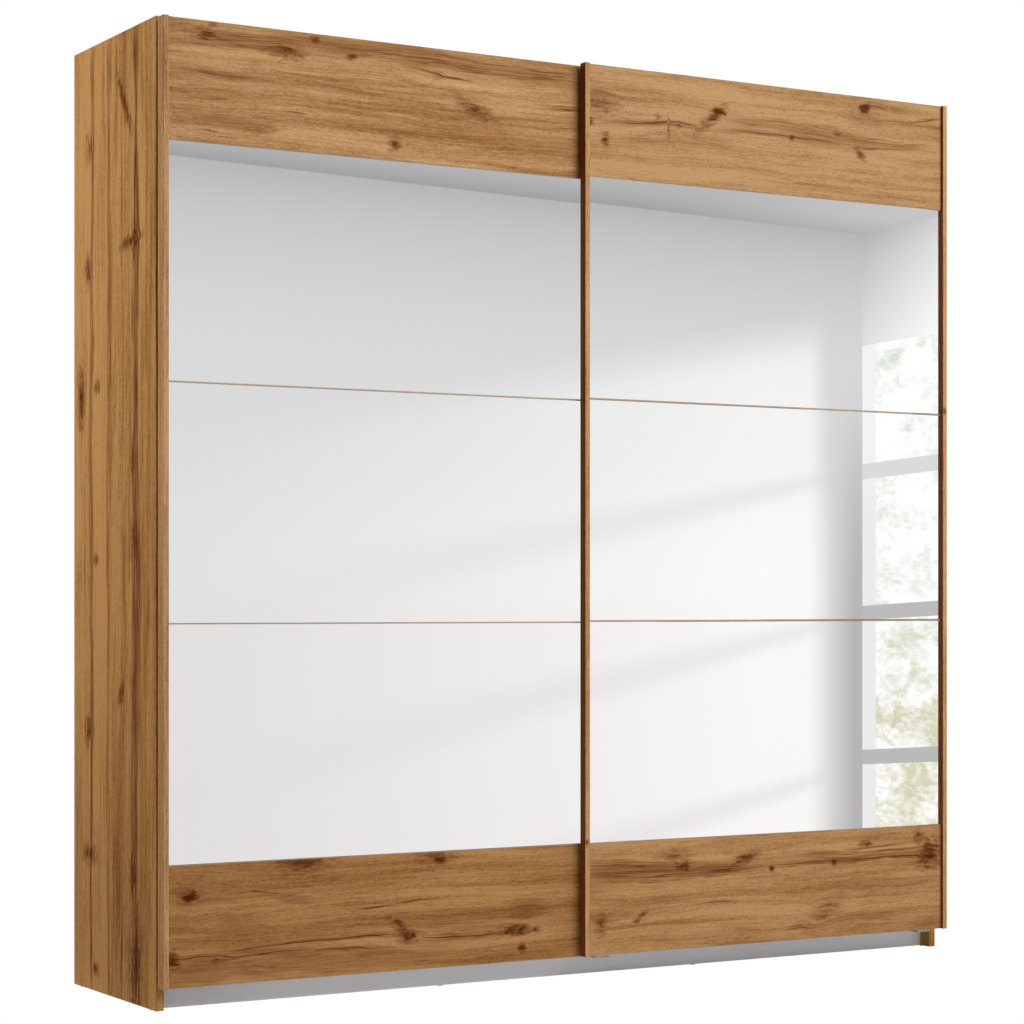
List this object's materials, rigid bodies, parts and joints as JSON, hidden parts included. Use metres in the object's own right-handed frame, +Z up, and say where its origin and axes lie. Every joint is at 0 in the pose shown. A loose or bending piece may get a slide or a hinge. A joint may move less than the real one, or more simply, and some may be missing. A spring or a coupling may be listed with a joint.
{
  "type": "sliding door wardrobe",
  "caption": "Sliding door wardrobe: oak decor carcass and two suspended doors, each a wood panel, stacked mirror panes and a wood panel between upright edge strips, over shelves and rails.",
  "frame": {"origin": "middle of the footprint, doors included, on the floor", "axes": "+X to the right seen from the front, +Y from the doors to the wall, +Z up"},
  "size_m": [2.15, 0.55, 2.15],
  "materials": {
    "oak_decor": "melamine-faced board, knotty oak decor",
    "oak_door": "melamine-faced board, knotty oak decor, grain across",
    "oak_strip": "foil-wrapped profile, oak decor, grain upright",
    "grey_decor": "melamine-faced board, pale grey linen decor",
    "hardboard": "lacquered hardboard, raw behind",
    "mdf": "raw fibreboard",
    "silvered_glass": "silvered float glass, ground edge",
    "brown_joint": "extruded plastic, matt brown",
    "white_profile": "extruded plastic, matt white",
    "aluminium_rail": "extruded, natural anodised",
    "zinc_steel": "pressed steel, zinc plated",
    "chrome_tube": "chrome-plated steel",
    "nylon": "turned nylon, natural",
    "black_plastic": "moulded, fine matt",
    "rubber": "soft rubber"
  },
  "bodies": {
    "carcass": {"back_joint_profile": "white_profile", "back_panel_left": "hardboard", "back_panel_right": "hardboard", "bottom_guide_rail": "aluminium_rail", "bottom_panel": "grey_decor", "cam_fittings": "zinc_steel", "carcass_screws": "zinc_steel", "centre_divider": "grey_decor", "clothes_rail_left": "chrome_tube", "clothes_rail_right": "chrome_tube", "floor_glides": "black_plastic", "hat_shelf_left": "grey_decor", "hat_shelf_right": "grey_decor", "inner_divider": "grey_decor", "plinth_front": "grey_decor", "plinth_rear": "grey_decor", "rail_sockets": "chrome_tube", "shelf_1": "grey_decor", "shelf_2": "grey_decor", "shelf_3": "grey_decor", "shelf_4": "grey_decor", "shelf_pins": "zinc_steel", "side_left": "oak_decor", "side_right": "oak_decor", "stop_buffers": "rubber", "top_panel": "grey_decor", "top_track": "aluminium_rail", "track_stops": "black_plastic", "wall_brackets": "zinc_steel"},
    "rear_door": {"rear_door_axles": "zinc_steel", "rear_door_bottom_panel": "oak_door", "rear_door_guides": "black_plastic", "rear_door_hangers": "zinc_steel", "rear_door_joint_strips": "brown_joint", "rear_door_mirror_backing": "mdf", "rear_door_mirror_lower": "silvered_glass", "rear_door_mirror_middle": "silvered_glass", "rear_door_mirror_upper": "silvered_glass", "rear_door_screws": "zinc_steel", "rear_door_strip_left": "oak_strip", "rear_door_strip_right": "oak_strip", "rear_door_top_panel": "oak_door"},
    "front_door": {"front_door_axles": "zinc_steel", "front_door_bottom_panel": "oak_door", "front_door_guide_arms": "zinc_steel", "front_door_hangers": "zinc_steel", "front_door_joint_strips": "brown_joint", "front_door_mirror_backing": "mdf", "front_door_mirror_lower": "silvered_glass", "front_door_mirror_middle": "silvered_glass", "front_door_mirror_upper": "silvered_glass", "front_door_screws": "zinc_steel", "front_door_sliders": "black_plastic", "front_door_strip_left": "oak_strip", "front_door_strip_right": "oak_strip", "front_door_top_panel": "oak_door"},
    "rear_left_wheel": {"rear_roller_left": "nylon"},
    "rear_right_wheel": {"rear_roller_right": "nylon"},
    "front_left_wheel": {"front_roller_left": "nylon"},
    "front_right_wheel": {"front_roller_right": "nylon"}
  },
  "joints": [
    {"name": "rear_door_slide", "type": "slide", "parent": "carcass", "child": "rear_door", "axis": [1, 0, 0], "range_m": [0, 1.051]},
    {"name": "front_door_slide", "type": "slide", "parent": "carcass", "child": "front_door", "axis": [-1, 0, 0], "range_m": [0, 1.051]},
    {"name": "rear_left_wheel_spin", "type": "hinge", "parent": "rear_door", "child": "rear_left_wheel", "pos_m": [-0.955, -0.194, 2.1206], "axis": [0, 1, 0], "range_deg": [0, 4900]},
    {"name": "rear_right_wheel_spin", "type": "hinge", "parent": "rear_door", "child": "rear_right_wheel", "pos_m": [-0.11, -0.194, 2.1206], "axis": [0, 1, 0], "range_deg": [0, 4900]},
    {"name": "front_left_wheel_spin", "type": "hinge", "parent": "front_door", "child": "front_left_wheel", "pos_m": [0.096, -0.164, 2.1206], "axis": [0, -1, 0], "range_deg": [0, 4900]},
    {"name": "front_right_wheel_spin", "type": "hinge", "parent": "front_door", "child": "front_right_wheel", "pos_m": [0.941, -0.164, 2.1206], "axis": [0, -1, 0], "range_deg": [0, 4900]}
  ],
  "couplings": [
    {"joint": "rear_left_wheel_spin", "follows": "rear_door_slide", "rad_per_m": 81.301},
    {"joint": "rear_right_wheel_spin", "follows": "rear_door_slide", "rad_per_m": 81.301},
    {"joint": "front_left_wheel_spin", "follows": "front_door_slide", "rad_per_m": 81.301},
    {"joint": "front_right_wheel_spin", "follows": "front_door_slide", "rad_per_m": 81.301}
  ]
}
